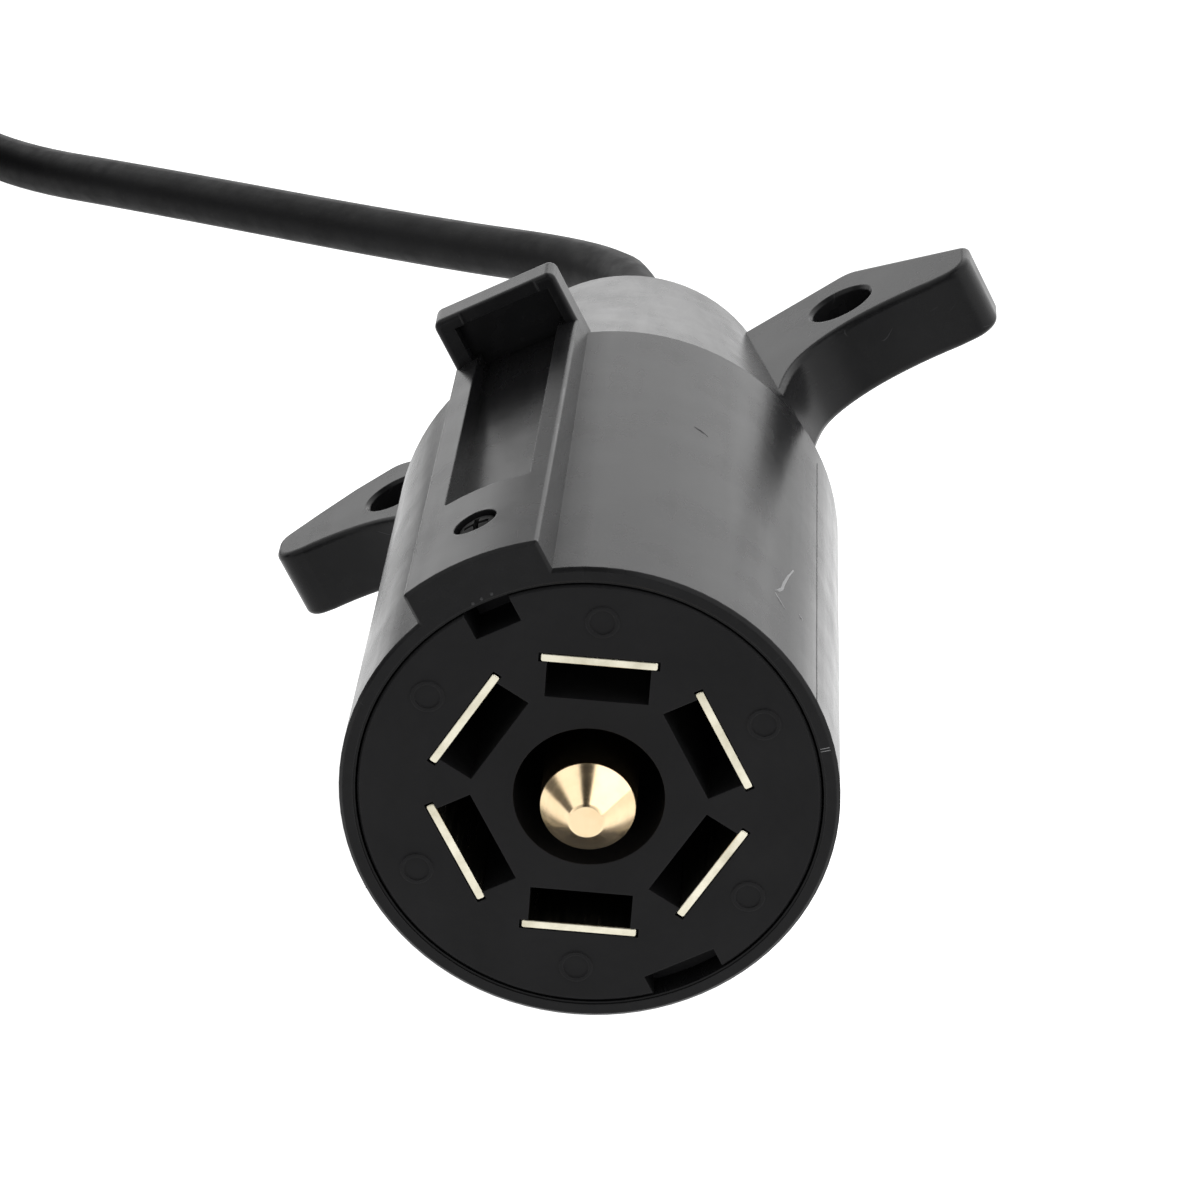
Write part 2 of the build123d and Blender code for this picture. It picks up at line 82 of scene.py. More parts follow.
# ------------------------------------------------------------------ node helpers
class Mat:
    """A principled material with short calls for its procedural nodes."""

    def __init__(self, name, rough=0.5, metal=0.0, spec=0.5, color=(0.02, 0.02, 0.02)):
        self.m = bpy.data.materials.new(name)
        self.m.use_nodes = True
        self.t = self.m.node_tree
        self.t.nodes.clear()
        out = self.t.nodes.new("ShaderNodeOutputMaterial")
        self.b = self.t.nodes.new("ShaderNodeBsdfPrincipled")
        self.t.links.new(self.b.outputs[0], out.inputs[0])
        self.b.inputs["Base Color"].default_value = (*color, 1)
        self.b.inputs["Roughness"].default_value = rough
        self.b.inputs["Metallic"].default_value = metal
        self.b.inputs["Specular IOR Level"].default_value = spec
        self.m.diffuse_color = (*color, 1)
        self._obj = None

    def node(self, kind, **props):
        n = self.t.nodes.new(kind)
        for k, v in props.items():
            setattr(n, k, v)
        return n

    def link(self, a, b):
        self.t.links.new(a, b)

    def put(self, socket, value):
        if hasattr(value, "is_output"):
            self.link(value, socket)
        elif isinstance(value, (tuple, list)) and len(value) == 3 and len(socket.default_value) == 4:
            socket.default_value = (*value, 1)
        else:
            socket.default_value = value

    def obj(self, scale=(1, 1, 1), rot=(0, 0, 0), loc=(0, 0, 0)):
        if self._obj is None:
            self._obj = self.node("ShaderNodeTexCoord").outputs["Object"]
        if scale == (1, 1, 1) and rot == (0, 0, 0) and loc == (0, 0, 0):
            return self._obj
        n = self.node("ShaderNodeMapping")
        self.link(self._obj, n.inputs["Vector"])
        n.inputs["Location"].default_value = loc
        n.inputs["Rotation"].default_value = rot
        n.inputs["Scale"].default_value = scale
        return n.outputs[0]

    def noise(self, scale, detail=2.0, rough=0.5, vec=None, distortion=0.0):
        n = self.node("ShaderNodeTexNoise")
        self.link(self.obj() if vec is None else vec, n.inputs["Vector"])
        n.inputs["Scale"].default_value = scale
        n.inputs["Detail"].default_value = detail
        n.inputs["Roughness"].default_value = rough
        n.inputs["Distortion"].default_value = distortion
        return n.outputs["Fac"]

    def voronoi(self, scale, feature="F1", vec=None, randomness=1.0, out="Distance"):
        n = self.node("ShaderNodeTexVoronoi", feature=feature)
        self.link(self.obj() if vec is None else vec, n.inputs["Vector"])
        n.inputs["Scale"].default_value = scale
        n.inputs["Randomness"].default_value = randomness
        return n.outputs[out]

    def ramp(self, fac, stops, interp="LINEAR"):
        n = self.node("ShaderNodeValToRGB")
        n.color_ramp.interpolation = interp
        e = n.color_ramp.elements
        while len(e) < len(stops):
            e.new(0.5)
        for el, (p, c) in zip(e, stops):
            el.position = p
            el.color = (c, c, c, 1) if isinstance(c, (int, float)) else (*c, 1)
        self.link(fac, n.inputs[0])
        return n.outputs[0]

    def range(self, fac, a0, a1, b0, b1, clamp=True):
        n = self.node("ShaderNodeMapRange", clamp=clamp)
        self.link(fac, n.inputs["Value"])
        for k, v in (("From Min", a0), ("From Max", a1), ("To Min", b0), ("To Max", b1)):
            n.inputs[k].default_value = v
        return n.outputs[0]

    def mix(self, fac, a, b, blend="MIX"):
        n = self.node("ShaderNodeMix", data_type="RGBA", blend_type=blend)
        self.put(n.inputs["Factor"], fac)
        self.put(n.inputs[6], a)
        self.put(n.inputs[7], b)
        return n.outputs[2]

    def math(self, op, a, b=None, c=None, clamp=False):
        n = self.node("ShaderNodeMath", operation=op, use_clamp=clamp)
        for i, v in enumerate((a, b, c)):
            if v is not None:
                self.put(n.inputs[i], v)
        return n.outputs[0]

    def bump(self, height, strength, distance, normal=None):
        n = self.node("ShaderNodeBump")
        n.inputs["Strength"].default_value = strength
        n.inputs["Distance"].default_value = distance
        self.link(height, n.inputs["Height"])
        if normal is not None:
            self.link(normal, n.inputs["Normal"])
        return n.outputs[0]

    def bevel(self, radius, samples=4):
        n = self.node("ShaderNodeBevel", samples=samples)
        n.inputs["Radius"].default_value = radius
        return n.outputs[0]

    def edge(self, radius, lo=0.02, hi=0.2):
        """0 on flats, towards 1 along edges."""
        bev = self.bevel(radius)
        geo = self.node("ShaderNodeNewGeometry").outputs["Normal"]
        dot = self.node("ShaderNodeVectorMath", operation="DOT_PRODUCT")
        self.link(bev, dot.inputs[0])
        self.link(geo, dot.inputs[1])
        return self.range(self.math("SUBTRACT", 1.0, dot.outputs["Value"]), lo, hi, 0.0, 1.0), bev

    def outer_edges(self, bev, reach=0.0006):
        """The rounded normal, kept off inside corners, with the mask that does it."""
        ao = self.node("ShaderNodeAmbientOcclusion", samples=6, only_local=True)
        ao.inputs["Distance"].default_value = reach
        mask = self.range(ao.outputs["AO"], 0.80, 0.97, 0.0, 1.0)
        geo = self.node("ShaderNodeNewGeometry").outputs["Normal"]
        n = self.node("ShaderNodeMix", data_type="VECTOR")
        self.link(mask, n.inputs["Factor"])
        self.link(geo, n.inputs[4])
        self.link(bev, n.inputs[5])
        return n.outputs[1], mask

    def color(self, v):
        self.put(self.b.inputs["Base Color"], v)

    def rough(self, v):
        self.put(self.b.inputs["Roughness"], v)

    def normal(self, v):
        self.link(v, self.b.inputs["Normal"])


def give(names, mat):
    for n in [names] if isinstance(names, str) else names:
        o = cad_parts[n]
        o.data.materials.clear()
        o.data.materials.append(mat.m)


# ------------------------------------------------------------------ materials
def shell_plastic():
    m = Mat("shell_plastic", spec=0.115)
    streak = m.noise(620, 2, 0.5, vec=m.obj(scale=(1, 0.03, 1)))
    cloud = m.noise(90, 4, 0.6)
    grain = m.noise(2600, 2, 0.6)
    fine = m.noise(7000, 1, 0.5)
    # hairline scratches: thin level lines of a drawn-out noise, each lot kept in a few patches
    scratch = None
    for turn, at in (((0.0, 0.0, 0.4), (0, 0, 0)), ((0.5, 0.3, -0.9), (0.31, 0.17, 0.05))):
        drawn = m.obj(scale=(1, 0.07, 1), rot=turn, loc=at)
        hair = m.math("ABSOLUTE", m.math("SUBTRACT", m.noise(150, 0, 0.5, vec=drawn), 0.5))
        hair = m.range(hair, 0.0, 0.003, 1.0, 0.0)
        patch = m.range(m.noise(260, 1, 0.5, vec=m.obj(loc=at)), 0.66, 0.71, 0.0, 1.0)
        lot = m.math("MULTIPLY", hair, patch)
        scratch = lot if scratch is None else m.math("MAXIMUM", scratch, lot)
    edge, bev = m.edge(0.00022, 0.01, 0.16)
    bev, out = m.outer_edges(bev)
    edge = m.math("MULTIPLY", edge, out)
    base = m.mix(m.range(cloud, 0.3, 0.7, 0, 1), (0.0046, 0.0046, 0.0049), (0.0068, 0.0068, 0.0071))
    base = m.mix(m.range(streak, 0.45, 0.75, 0.0, 0.3), base, (0.0095, 0.0095, 0.0099))
    base = m.mix(m.math("MULTIPLY", scratch, 0.15), base, (0.13, 0.13, 0.135))
    # Edges are painted lighter: partly rubbed wear, partly a painted highlight along them.
    base = m.mix(m.math("MULTIPLY", edge, 0.3), base, (0.035, 0.035, 0.036))
    # Inside corners, where the AO mask is low, are painted a flat darker tone with no edge lightening: painted shade in
    # creases.
    m.color(m.mix(out, (0.0050, 0.0050, 0.0052), base))
    r = m.range(m.noise(140, 3, 0.6), 0.3, 0.7, 0.22, 0.29)
    r = m.math("ADD", r, m.range(streak, 0.35, 0.75, -0.01, 0.03))
    r = m.math("ADD", r, m.math("MULTIPLY", scratch, 0.1))
    m.rough(r)
    h = m.math("ADD", m.math("MULTIPLY", grain, 0.7), m.math("MULTIPLY", fine, 0.3))
    h = m.math("ADD", h, m.math("MULTIPLY", streak, 0.12))
    h = m.math("SUBTRACT", h, m.math("MULTIPLY", scratch, 0.15))
    n = m.bump(h, 0.24, 0.00003, bev)
    m.normal(m.bump(m.noise(75, 2, 0.5), 0.085, 0.0004, n))
    return m


def carrier_plastic():
    m = Mat("carrier_plastic", spec=0.125)
    cloud = m.noise(120, 4, 0.6)
    grain = m.noise(3200, 2, 0.6)
    edge, bev = m.edge(0.00018, 0.01, 0.2)
    base = m.mix(m.range(cloud, 0.3, 0.7, 0, 1), (0.0042, 0.0042, 0.0045), (0.0064, 0.0063, 0.0067))
    specks = m.range(m.voronoi(420), 0.0, 0.035, 1.0, 0.0)
    specks = m.math("MULTIPLY", specks, m.range(m.noise(160, 1), 0.60, 0.66, 0, 1))
    base = m.mix(m.math("MULTIPLY", specks, 0.25), base, (0.11, 0.11, 0.11))
    base = m.mix(m.math("MULTIPLY", edge, 0.3), base, (0.03, 0.03, 0.031))
    m.color(base)
    m.rough(m.range(m.noise(500, 3, 0.6), 0.3, 0.7, 0.44, 0.56))
    m.normal(m.bump(grain, 0.3, 0.00002, bev))
    return m


def brass(name, color=(0.77, 0.735, 0.60), rough=(0.16, 0.28), turned=False):
    m = Mat(name, metal=1.0)
    edge, bev = m.edge(0.00012, 0.01, 0.2)
    tarnish = m.noise(260, 4, 0.6)
    low = (0.90, 0.86, 0.78) if turned else (0.62, 0.60, 0.54)
    base = m.mix(m.range(tarnish, 0.40, 0.68, 0.0, 0.7), color,
                 (color[0] * low[0], color[1] * low[1], color[2] * low[2]))
    m.color(base)
    if turned:
        sep = m.node("ShaderNodeSeparateXYZ")
        m.link(m.obj(), sep.inputs[0])
        x2 = m.math("MULTIPLY", sep.outputs[0], sep.outputs[0])
        z2 = m.math("MULTIPLY", sep.outputs[2], sep.outputs[2])
        rad = m.math("SQRT", m.math("ADD", x2, z2))
        comb = m.node("ShaderNodeCombineXYZ")
        m.link(rad, comb.inputs[0])
        m.link(sep.outputs[1], comb.inputs[1])
        h = m.noise(5200, 2, 0.5, vec=comb.outputs[0])
    else:
        h = m.noise(1800, 3, 0.6, vec=m.obj(scale=(1, 0.06, 1)))
    m.rough(m.range(h, 0.3, 0.7, rough[0], rough[1]))
    m.normal(m.bump(h, 0.12 if turned else 0.3, 0.00001, bev))
    return m


def steel():
    m = Mat("screw_steel", metal=1.0)
    edge, bev = m.edge(0.00012, 0.01, 0.2)
    h = m.noise(2400, 3, 0.6)
    m.color(m.mix(m.range(m.noise(500, 3), 0.3, 0.7, 0, 1), (0.075, 0.075, 0.075), (0.028, 0.028, 0.028)))
    m.rough(m.range(h, 0.3, 0.7, 0.28, 0.42))
    m.normal(m.bump(h, 0.3, 0.00001, bev))
    return m


def jacket():
    m = Mat("jacket_rubber", spec=0.075)
    cloud = m.noise(70, 4, 0.6)
    grain = m.noise(2300, 3, 0.65)
    lump = m.noise(260, 2, 0.5)
    dust = m.range(m.noise(1500, 3, 0.7), 0.62, 0.74, 0.0, 1.0)
    base = m.mix(m.range(cloud, 0.3, 0.7, 0, 1), (0.0030, 0.0030, 0.0033), (0.0056, 0.0056, 0.0059))
    base = m.mix(m.math("MULTIPLY", dust, 0.04), base, (0.14, 0.135, 0.13))
    m.color(base)
    m.rough(m.range(m.noise(420, 3, 0.6), 0.3, 0.7, 0.46, 0.60))
    n = m.bump(grain, 0.4, 0.00003)
    m.normal(m.bump(lump, 0.25, 0.00010, n))
    return m


def rubber():
    m = Mat("relief_rubber", spec=0.25)
    edge, bev = m.edge(0.00022, 0.01, 0.2)
    cloud = m.noise(140, 4, 0.6)
    base = m.mix(m.range(cloud, 0.3, 0.7, 0, 1), (0.010, 0.010, 0.0105), (0.018, 0.018, 0.0185))
    base = m.mix(m.math("MULTIPLY", edge, 0.3), base, (0.045, 0.045, 0.045))
    m.color(base)
    m.rough(m.range(m.noise(500, 3, 0.6), 0.3, 0.7, 0.52, 0.66))
    m.normal(m.bump(m.noise(2800, 3, 0.6), 0.4, 0.00003, bev))
    return m


def clamp_plastic():
    m = Mat("clamp_plastic", spec=0.4)
    edge, bev = m.edge(0.0002, 0.01, 0.2)
    base = m.mix(m.range(m.noise(160, 4, 0.6), 0.3, 0.7, 0, 1), (0.055, 0.056, 0.058), (0.08, 0.081, 0.083))
    m.color(m.mix(m.math("MULTIPLY", edge, 0.3), base, (0.15, 0.15, 0.15)))
    m.rough(m.range(m.noise(700, 3), 0.3, 0.7, 0.42, 0.55))
    m.normal(m.bump(m.noise(2600, 2), 0.3, 0.00002, bev))
    return m


def tie_cloth():
    m = Mat("tie_plastic", spec=0.3)
    loops = m.voronoi(2600, "SMOOTH_F1")
    fuzz = m.noise(5200, 3, 0.7)
    base = m.mix(m.range(loops, 0.1, 0.7, 0, 1), (0.016, 0.016, 0.017), (0.05, 0.05, 0.052))
    base = m.mix(m.range(fuzz, 0.5, 0.8, 0.0, 0.4), base, (0.09, 0.09, 0.092))
    m.color(base)
    m.rough(m.range(fuzz, 0.3, 0.7, 0.75, 0.95))
    m.b.inputs["Sheen Weight"].default_value = 0.25
    m.b.inputs["Sheen Roughness"].default_value = 0.5
    m.normal(m.bump(m.math("ADD", loops, m.math("MULTIPLY", fuzz, 0.5)), 0.8, 0.00012))
    return m


def copper():
    m = Mat("copper", metal=1.0)
    t = m.noise(900, 3, 0.6)
    m.color(m.mix(m.range(t, 0.3, 0.7, 0, 1), (0.88, 0.50, 0.31), (0.60, 0.29, 0.16)))
    m.rough(m.range(t, 0.3, 0.7, 0.22, 0.38))
    m.normal(m.bump(m.noise(6000, 2), 0.25, 0.00001))
    return m


def insulation(name, c):
    m = Mat(name, spec=0.5)
    dark = tuple(v * 0.72 for v in c)
    m.color(m.mix(m.range(m.noise(220, 4, 0.6), 0.3, 0.7, 0, 1), c, dark))
    m.rough(m.range(m.noise(900, 3), 0.3, 0.7, 0.30, 0.44))
    m.normal(m.bump(m.noise(3800, 3, 0.6), 0.3, 0.000015))
    return m


M_SHELL = shell_plastic()
M_CARRIER = carrier_plastic()
M_CONTACT = brass("contact_brass")
M_PIN = brass("pin_brass", (0.88, 0.68, 0.43), (0.15, 0.21), turned=True)
M_SCREW_BRASS = brass("screw_brass", (0.78, 0.58, 0.31), (0.26, 0.42))
M_STEEL = steel()
M_CLAMP = clamp_plastic()
M_RELIEF = rubber()
M_JACKET = jacket()
M_TIE = tie_cloth()
M_COPPER = copper()
CORE_COLOURS = {
    "white": (0.72, 0.71, 0.68), "blue": (0.020, 0.055, 0.30), "green": (0.015, 0.16, 0.040),
    "black": (0.013, 0.013, 0.014), "yellow": (0.70, 0.47, 0.02), "brown": (0.11, 0.042, 0.016),
    "purple": (0.11, 0.025, 0.17),
}
M_CORE = {c: insulation("core_" + c, v) for c, v in CORE_COLOURS.items()}

PLACES = ["upper_right", "right", "lower_right", "lower_left", "left", "upper_left"]
give("connector_shell", M_SHELL)
give("terminal_carrier", M_CARRIER)
give(["contact_" + p for p in PLACES], M_CONTACT)
give("centre_pin", M_PIN)
give(["binding_screw_" + p for p in PLACES + ["centre"]], M_SCREW_BRASS)
give(["retaining_screw", "clamp_screw_left", "clamp_screw_right"], M_STEEL)
give(["cable_clamp_base", "cable_clamp_cap"], M_CLAMP)
give("strain_relief", M_RELIEF)
give("cable_inner", M_JACKET)
give("core_bared_ends", M_COPPER)
for c in CORE_COLOURS:
    give("core_" + c, M_CORE[c])

# ------------------------------------------------------------------ cable
CABLE_R = 3.0
ROUTE = [
    (0.0, 112.5, 0.0), (0.0, 127.0, 0.0), (-6.6, 141.8, -2.8), (-27.5, 161.6, -7.9),
    (-65.8, 196.7, -15.0), (-86.5, 218.3, -20.25), (-98.7, 232.8, -20.25), (-109.7, 244.4, -20.25),
]
COIL_X, COIL_Y = -140.2, 215.5
START_A, END_A, END_R, END_Z = 43.5, 268.5, 36.25, FLOOR + 15.0
TIE_A = 200.0
PER_TURN = 16
STEP_A = 360.0 / PER_TURN


def coil_at(t):
    """Radius and height of the coil's centreline, t degrees after its start."""
    if t <= 1080:
        r, z = 42.0 - 18.0 * t / 1080.0, 3.0
    elif t <= 1200:
        r, z = 24.0, 3.0 + 6.0 * (t - 1080) / 120.0
    elif t <= 2280:
        r, z = 24.0 + 18.0 * (t - 1200) / 1080.0, 9.0
    elif t <= 2400:
        r, z = 42.0, 9.0 + 6.0 * (t - 2280) / 120.0
    else:
        r, z = 42.0 - (42.0 - END_R) * (t - 2400) / 345.0, 15.0
    # the tie draws the bundle in a little where it goes round
    off = (START_A + t - TIE_A + 180.0) % 360.0 - 180.0
    pull = math.exp(-(off / 13.0) ** 2)
    r += pull * 1.05 * (33.0 - r) / 9.0
    z += pull * 1.05 * (9.0 - z) / 6.0
    return r, z


def coil_points():
    pts, t = [], STEP_A
    k = 1.0 / math.cos(math.radians(STEP_A / 2))
    while t < 2745 - 8.0:
        r, z = coil_at(t)
        a = math.radians(START_A + t)
        pts.append((COIL_X + r * k * math.cos(a), COIL_Y + r * k * math.sin(a), FLOOR + z))
        t += STEP_A
    a = math.radians(END_A)
    pts.append((COIL_X + END_R * math.cos(a), COIL_Y + END_R * math.sin(a), END_Z))
    return pts


def nurbs(name, pts, radius, mat, res=8, bevel=5):
    cu = bpy.data.curves.new(name, "CURVE")
    cu.dimensions = "3D"
    cu.resolution_u = res
    cu.bevel_depth = radius * MM
    cu.bevel_resolution = bevel
    cu.use_fill_caps = True
    sp = cu.splines.new("NURBS")
    sp.points.add(len(pts) - 1)
    for p, q in zip(sp.points, pts):
        p.co = (q[0] * MM, q[1] * MM, q[2] * MM, 1.0)
    sp.order_u = 3
    sp.use_endpoint_u = True
    sp.use_smooth = True
    cu.materials.append(mat.m)
    return link(bpy.data.objects.new(name, cu))


def nurbs_line(curve):
    """Points along a curve's own smooth line, in metres."""
    bare = bpy.data.objects.new("bare_line", curve.data.copy())
    bare.data.bevel_depth = 0
    mesh = bpy.data.meshes.new_from_object(bare)
    line = [v.co.copy() for v in mesh.vertices]
    bpy.data.meshes.remove(mesh)
    bpy.data.curves.remove(bare.data)
    return line


cable = nurbs("cable_run", ROUTE + coil_points(), CABLE_R, M_JACKET)
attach(cable, BODY)
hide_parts("cable", "cable_coil")

# the seven cores beyond the jacket's end, lying on the coil
CORE_R, COPPER_R, CORE_RING = 0.725, 0.45, 2.0
LIE_Z = FLOOR + 12.0 + CORE_R + 0.02


def on_coil(a, r, z):
    t = math.radians(a)
    return (COIL_X + r * math.cos(t), COIL_Y + r * math.sin(t), z)


def tube(bm, pts, radius, sides=10, mat=0):
    """A closed round tube along points (metres)."""
    rings = []
    n = len(pts)
    ref = None
    for i, p in enumerate(pts):
        d = (pts[min(i + 1, n - 1)] - pts[max(i - 1, 0)]).normalized()
        if ref is None:
            ref = d.orthogonal().normalized()
        ref = (ref - d * ref.dot(d)).normalized()
        side = d.cross(ref)
        r = radius[i] if isinstance(radius, list) else radius
        rings.append([bm.verts.new(p + (ref * math.cos(a) + side * math.sin(a)) * r)
                      for a in (2 * math.pi * k / sides for k in range(sides))])
    faces = []
    for a, b in zip(rings, rings[1:]):
        for k in range(sides):
            faces.append(bm.faces.new((a[k], a[(k + 1) % sides], b[(k + 1) % sides], b[k])))
    faces.append(bm.faces.new(list(reversed(rings[0]))))
    faces.append(bm.faces.new(rings[-1]))
    for f in faces:
        f.material_index = mat
        f.smooth = len(f.verts) == 4


def mesh_piece(name, build, mats, body=BODY):
    bm = bmesh.new()
    build(bm)
    bmesh.ops.recalc_face_normals(bm, faces=bm.faces)
    me = bpy.data.meshes.new(name)
    bm.to_mesh(me)
    bm.free()
    for m in mats:
        me.materials.append(m.m)
    o = link(bpy.data.objects.new(name, me))
    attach(o, body)
    return o


TAILS = [("white", 15), ("blue", 315), ("green", 75), ("purple", None), ("black", 255),
         ("yellow", 135), ("brown", 195)]
on_cable = []
for k, (colour, ring) in enumerate(TAILS):
    dr = 0.0 if ring is None else CORE_RING * math.cos(math.radians(ring))
    dz = 0.0 if ring is None else CORE_RING * math.sin(math.radians(ring))
    lie = 36.9 - 1.85 * k - (0.35 if k == 6 else 0.0)
    pts = [on_coil(END_A, END_R + dr, END_Z + dz), on_coil(END_A + 7.0, END_R + dr, END_Z + dz),
           on_coil(END_A + 30.0, lie, LIE_Z), on_coil(END_A + 50.0 + 2.0 * k, lie - 0.15, LIE_Z),
           on_coil(END_A + 68.0 + 4.0 * k, lie, LIE_Z)]
    tail = nurbs("tail_run_" + colour, pts, CORE_R, M_CORE[colour], res=12, bevel=4)
    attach(tail, BODY)
    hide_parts("tail_" + colour)
    line = nurbs_line(tail)
    tip = line[-1]
    d = (Vector(pts[-1]) - Vector(pts[-2])).normalized()

    def strands(bm, tip=tip, d=d):
        u = d.orthogonal().normalized()
        v = d.cross(u)
        tube(bm, [tip + d * (x * MM) for x in (-0.6, 2.0, 4.0, 6.0)], 0.15 * MM, 8)
        for s in range(6):
            run = []
            for i in range(19):
                x = -0.6 + 6.5 * i / 18
                a = 2 * math.pi * (s / 6.0 + x / 7.5)
                spread = 0.29 + (0.06 * max(0.0, x - 4.0) / 2.0) * (1 + 0.5 * math.sin(s * 2.3))
                run.append(tip + d * (x * MM) + (u * math.cos(a) + v * math.sin(a)) * (spread * MM))
            tube(bm, run, 0.15 * MM, 8)

    bare = mesh_piece("tail_strands_" + colour, strands, [M_COPPER])
    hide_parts("tail_bared_ends")
    on_cable.append(tail)


# the tie: a hook-and-loop strap drawn round the bundle, its end lapped over the top
def strap(bm):
    a = math.radians(TIE_A)
    out = Vector((math.cos(a), math.sin(a), 0))
    side = Vector((-math.sin(a), math.cos(a), 0))
    centre = Vector((COIL_X, COIL_Y, 0))
    x0, x1, z0, z1, r = 21.35, 44.65, FLOOR + 0.5, FLOOR + 17.6, 3.2
    path = []

    def corner(cx, cz, a0):
        for i in range(9):
            t = math.radians(a0 + 90.0 * i / 8)
            path.append((cx + r * math.cos(t), cz + r * math.sin(t)))

    def run(p, q, n):
        for i in range(1, n):
            path.append((p[0] + (q[0] - p[0]) * i / n, p[1] + (q[1] - p[1]) * i / n))

    path.append((x0 + 8.0, z1))
    run((x0 + 8.0, z1), (x0 + r, z1), 4)
    corner(x0 + r, z1 - r, 90)
    run((x0, z1 - r), (x0, z0 + r), 6)
    corner(x0 + r, z0 + r, 180)
    run((x0 + r, z0), (x1 - r, z0), 9)
    corner(x1 - r, z0 + r, 270)
    run((x1, z0 + r), (x1, z1 - r), 6)
    corner(x1 - r, z1 - r, 0)
    run((x1 - r, z1), (x0 + 12.0, z1), 6)
    # the lapped end climbs one thickness and lies on the strap below
    for i in range(1, 13):
        x = x0 + 12.0 - 11.0 * i / 12
        lift = 1.0 * min(1.0, max(0.0, (i - 0.5) / 3.5))
        droop = 0.35 * max(0.0, (i - 9) / 3.0) ** 2
        path.append((x, z1 + lift * 1.02 + droop * 0.6))
    n, half, t = len(path), 2.9, 0.48
    rows = []
    for i, (x, z) in enumerate(path):
        px, pz = path[max(i - 1, 0)]
        qx, qz = path[min(i + 1, n - 1)]
        dx, dz = qx - px, qz - pz
        ln = math.hypot(dx, dz)
        nx, nz = -dz / ln, dx / ln
        row = []
        for s, w, q in ((-1, 1.0, -1), (-0.5, 1.0, -1), (0, 1.0, -1), (0.5, 1.0, -1), (1, 1.0, -1),
                        (1.03, 0.0, 0), (1, 1.0, 1), (0.5, 1.0, 1), (0, 1.0, 1), (-0.5, 1.0, 1),
                        (-1, 1.0, 1), (-1.03, 0.0, 0)):
            off = t * w * q
            p = centre + out * (x + nx * off) + side * (half * s) + Vector((0, 0, z + nz * off))
            row.append(bm.verts.new(p * MM))
        rows.append(row)
    for a_, b_ in zip(rows, rows[1:]):
        for i in range(12):
            bm.faces.new((a_[i], a_[(i + 1) % 12], b_[(i + 1) % 12], b_[i])).smooth = True
    bm.faces.new(list(reversed(rows[0])))
    bm.faces.new(rows[-1])


tie = mesh_piece("coil_strap", strap, [M_TIE])
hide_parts("coil_tie")


# ------------------------------------------------------------------ mould details
def barrel_r(y):
    return 23.25 - (23.25 - 22.55) * y / 59.0 if y <= 59.0 else 22.2 - (y - 59.8) * (22.2 - 15.5) / 32.7


def seam(bm):
    """The mould's parting line: a hair-fine ridge in the ears' plane, along the barrel and cone."""
    copy = bmesh.new()
    copy.from_mesh(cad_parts["connector_shell"].data)
    plane = Vector((-math.sin(ROLL), 0, math.cos(ROLL)))
    cut = bmesh.ops.bisect_plane(copy, geom=copy.verts[:] + copy.edges[:] + copy.faces[:], dist=1e-7,
                                 plane_co=(0, 0, 0), plane_no=plane)["geom_cut"]
    edges = [e for e in cut if isinstance(e, bmesh.types.BMEdge)]
    across = Vector((math.cos(ROLL), 0, math.sin(ROLL)))

    def outside(v):
        x, y = abs(v.co.dot(across)) / MM, v.co.y / MM
        return 0.3 < y < 90.5 and abs(x - barrel_r(y)) < 0.07

    keep = [e for e in edges if all(outside(v) for v in e.verts) and e.calc_length() > 1e-6]
    h, w = 0.04 * MM, 0.10 * MM
    for e in keep:
        p, q = [v.co.copy() for v in e.verts]
        d = (q - p).normalized()
        n = d.cross(plane).normalized()
        mid = (p + q) / 2
        if n.dot(across * math.copysign(1, mid.dot(across))) < 0 and abs(n.dot(across)) > 0.3:
            n = -n
        elif abs(n.dot(across)) <= 0.3 and n.y * (mid.y - 0.0835) < 0:
            n = -n
        p, q = p - d * 0.01 * MM, q + d * 0.01 * MM
        ring = []
        for c in (p, q):
            ring.append([bm.verts.new(c + plane * w - n * h), bm.verts.new(c + plane * w * 0.35 + n * h),
                         bm.verts.new(c - plane * w * 0.35 + n * h), bm.verts.new(c - plane * w - n * h)])
        a, b = ring
        for i in range(4):
            bm.faces.new((a[i], a[(i + 1) % 4], b[(i + 1) % 4], b[i]))
        bm.faces.new(list(reversed(a)))
        bm.faces.new(b)
    copy.free()


mesh_piece("shell_parting_line", seam, [M_SHELL])


def on_barrel(angle, y, lift=0.0):
    """A point on the barrel; the angle is from the key towards the right ear, in degrees."""
    a = math.radians(angle)
    r = barrel_r(y) + lift
    return key(r * math.sin(a), y, r * math.cos(a))


def dot(bm, centre, normal, radius, height):
    """A low round bump, sunk a little into the face below."""
    n = Vector(normal).normalized()
    u = n.orthogonal().normalized()
    v = n.cross(u)
    rings = []
    for t in (-0.35, 0.0, 0.45, 0.8):
        w = math.cos(max(t, 0.0) * math.pi / 2)
        rings.append([bm.verts.new(centre + (u * math.cos(a) + v * math.sin(a)) * (radius * w * MM)
                                   + n * (height * math.sin(t * math.pi / 2) * MM))
                      for a in (2 * math.pi * k / 10 for k in range(10))])
    for p, q in zip(rings, rings[1:]):
        for k in range(10):
            bm.faces.new((p[k], p[(k + 1) % 10], q[(k + 1) % 10], q[k])).smooth = True
    bm.faces.new(list(reversed(rings[0])))
    bm.faces.new(rings[-1])


